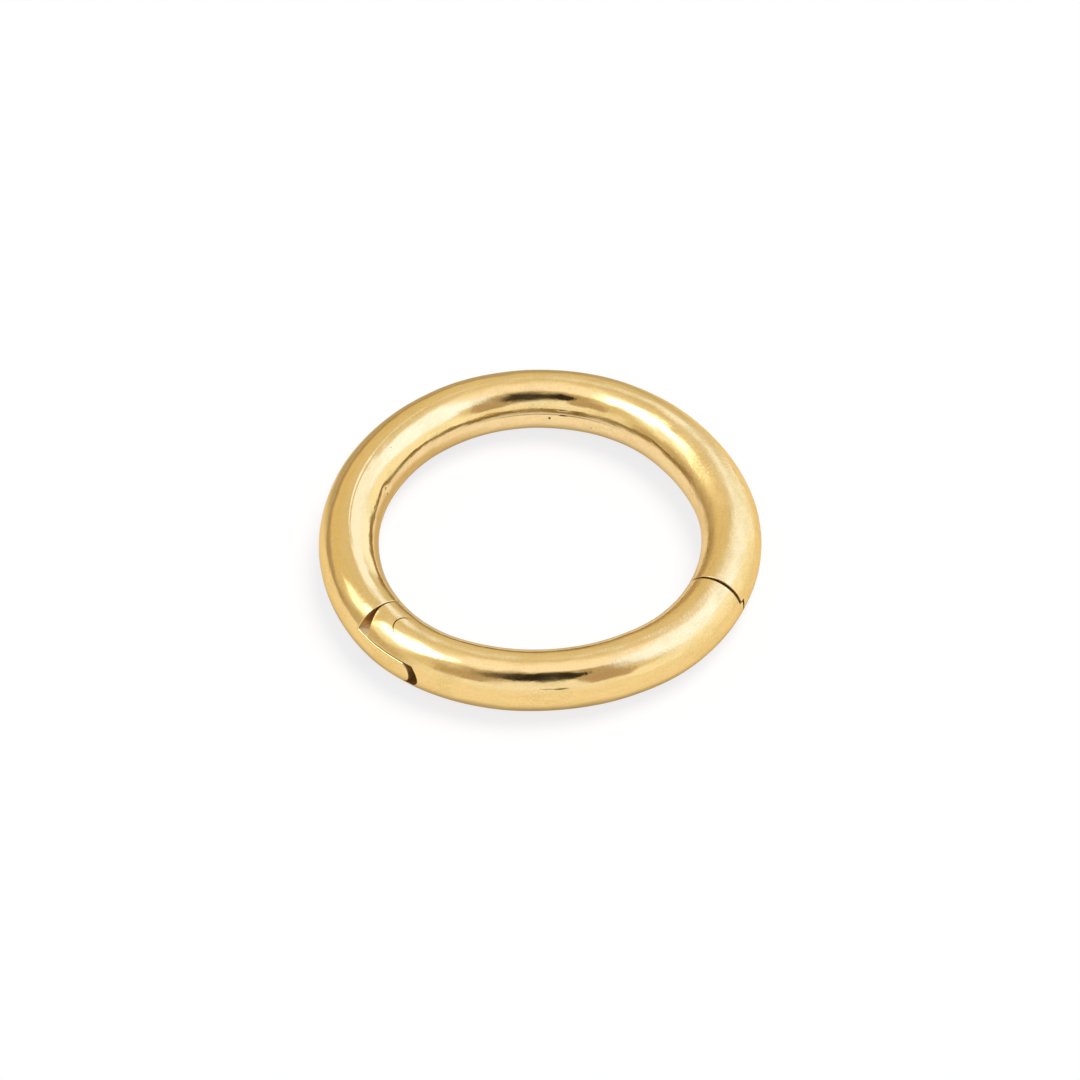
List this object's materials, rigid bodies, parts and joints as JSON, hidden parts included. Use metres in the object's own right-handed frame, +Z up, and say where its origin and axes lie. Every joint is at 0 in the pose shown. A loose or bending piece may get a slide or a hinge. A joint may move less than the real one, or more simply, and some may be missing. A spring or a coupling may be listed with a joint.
{
  "type": "clicker ring",
  "caption": "Hinged segment ring for a piercing: a round-wire hoop closed by a gate that turns on a flush pin and catches in the hoop's other end.",
  "frame": {"origin": "on the surface that the ring lies on, under the middle of the ring's box", "axes": "+Z up, square to the plane of the ring; +X to the catch side and -Y to the gate side, so that the hinge is towards -X and -Y"},
  "size_m": [0.0088, 0.0088, 0.0012],
  "materials": {
    "hoop_gold": "polished yellow gold with a faint satin grain and a few small pits",
    "gate_gold": "polished yellow gold with faint brush lines along its outer side",
    "pin_gold": "polished yellow gold, dressed flush with the wire"
  },
  "bodies": {
    "hoop": {"hoop": "hoop_gold"},
    "gate": {"gate": "gate_gold", "hinge_pin": "pin_gold"}
  },
  "joints": [
    {"name": "gate_hinge", "type": "hinge", "parent": "hoop", "child": "gate", "pos_m": [-0.00256, -0.00293, 0.0006], "axis": [0, 0, -1], "range_deg": [0, 95]}
  ]
}
